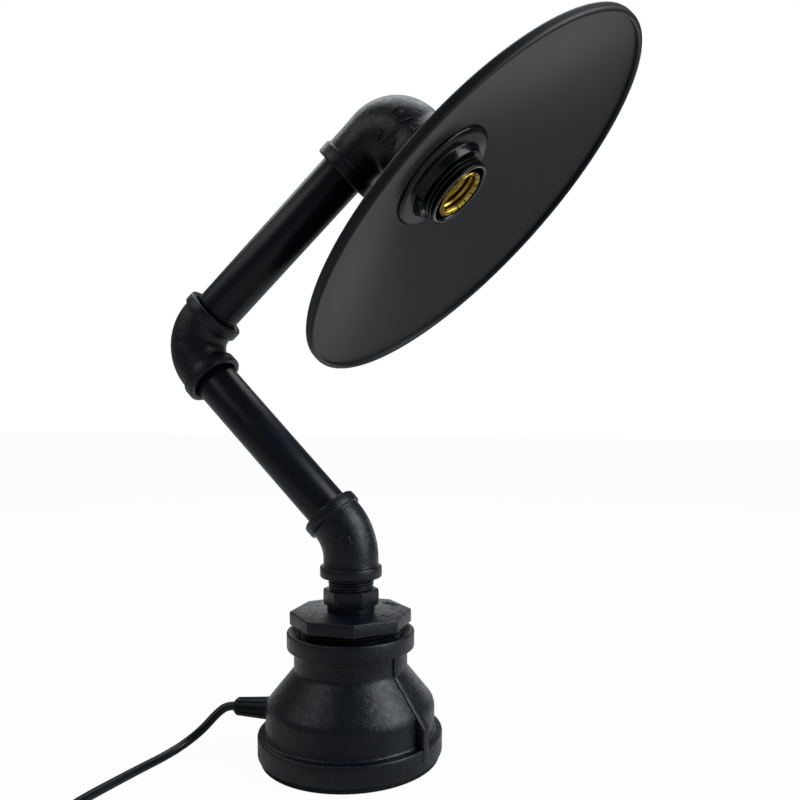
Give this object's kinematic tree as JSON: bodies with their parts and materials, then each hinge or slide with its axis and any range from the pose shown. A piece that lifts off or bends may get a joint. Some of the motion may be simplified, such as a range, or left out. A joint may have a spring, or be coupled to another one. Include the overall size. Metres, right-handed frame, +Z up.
{
  "type": "table lamp",
  "caption": "Table lamp made of cast pipe fittings: reducing coupling base, bent pipe arm on swivelling threads, wide shallow metal shade, screw lampholder, corded plug and rocker switch.",
  "frame": {"origin": "centre of the underside of the foot pad, on the table", "axes": "+Z up; +X to the right of the picture's view; -Y towards the viewer; the cord leaves the base near -X"},
  "size_m": [0.3225, 0.3344, 0.4157],
  "materials": {
    "cast_iron": "satin black paint over cast iron, fine cast grain",
    "pipe": "smooth satin black paint on steel pipe",
    "shade": "matt charcoal powder coat on spun steel",
    "phenolic": "glossy black moulded phenolic",
    "insert": "brown-grey moulded insulating insert",
    "brass": "bright pressed brass",
    "zinc": "zinc plated steel",
    "rubber": "black rubber sheet",
    "cord": "black flexible PVC, slightly glossy",
    "black_moulding": "black moulded plastic"
  },
  "bodies": {
    "stand": {"base_pad": "rubber", "base_reducer": "cast_iron", "octagon_bushing": "cast_iron", "hex_nipple": "cast_iron", "cord_grip": "black_moulding", "cord_grip_nut": "black_moulding", "lead_base": "cord", "cord_first_run": "cord", "cord_second_run": "cord", "cord_coil": "cord", "cord_tail": "cord", "switch_lower_shell": "black_moulding", "switch_upper_shell": "black_moulding", "switch_contacts": "brass", "switch_screws": "zinc", "plug_body": "black_moulding", "plug_blades": "brass"},
    "lower_arm": {"elbow_45": "cast_iron", "lower_pipe": "pipe", "lead_lower": "cord"},
    "upper_arm": {"middle_elbow": "cast_iron", "upper_pipe": "pipe", "lead_upper": "cord"},
    "head": {"head_elbow": "cast_iron", "lead_head": "cord", "socket_body": "phenolic", "socket_insert": "insert", "screw_shell": "brass", "centre_contact": "brass", "terminal_screws": "zinc", "shade": "shade", "shade_ring_front": "phenolic", "shade_ring_back": "phenolic"},
    "rocker": {"switch_rocker": "black_moulding"}
  },
  "joints": [
    {"name": "base_swivel", "type": "hinge", "parent": "stand", "child": "lower_arm", "pos_m": [0, 0, 0.13725], "axis": [0, 0, 1], "range_deg": [-165, 165]},
    {"name": "elbow_swivel", "type": "hinge", "parent": "lower_arm", "child": "upper_arm", "pos_m": [-0.10228, 0.04769, 0.2501], "axis": [-0.6409, 0.2988, 0.7071], "range_deg": [-90, 90]},
    {"name": "head_swivel", "type": "hinge", "parent": "upper_arm", "child": "head", "pos_m": [0.02257, 0.0106, 0.37894], "axis": [0.6815, -0.2025, 0.7032], "range_deg": [-120, 120]},
    {"name": "switch_rock", "type": "hinge", "parent": "stand", "child": "rocker", "pos_m": [-0.082, -0.141, 0.0134], "axis": [0, 1, 0], "range_deg": [0, 18]}
  ]
}
